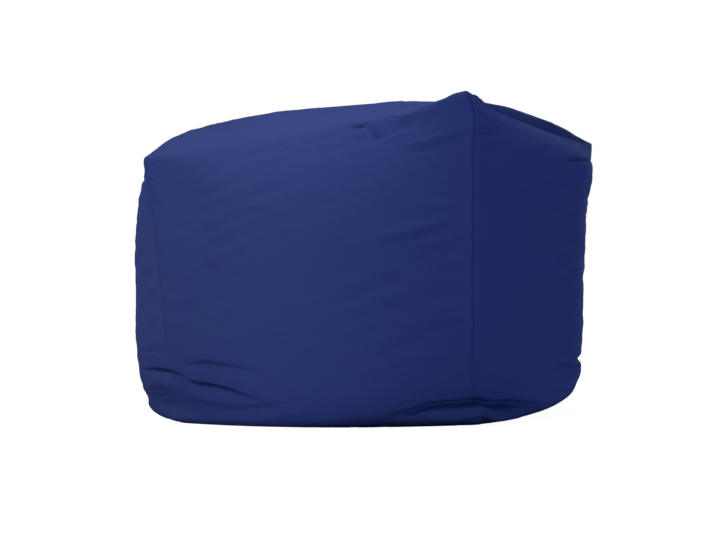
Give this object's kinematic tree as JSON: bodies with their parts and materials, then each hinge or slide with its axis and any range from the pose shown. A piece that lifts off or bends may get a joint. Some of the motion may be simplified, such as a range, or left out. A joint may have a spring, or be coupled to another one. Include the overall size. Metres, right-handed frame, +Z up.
{
  "type": "outdoor pouf",
  "caption": "Soft cube-shaped outdoor pouf: a filled seat or footrest in plain woven cloth, with a crowned top, bulging walls, raised corner tips and plain closed seams.",
  "frame": {"origin": "on the surface that the pouf stands on, under the middle of its outline in plan", "axes": "+Z up, the front wall faces -Y, the right-hand wall faces +X"},
  "size_m": [0.5658, 0.5798, 0.3766],
  "materials": {
    "navy_cloth": "matt plain weave"
  },
  "bodies": {
    "root": {"pouf_cover": "navy_cloth"}
  },
  "joints": []
}
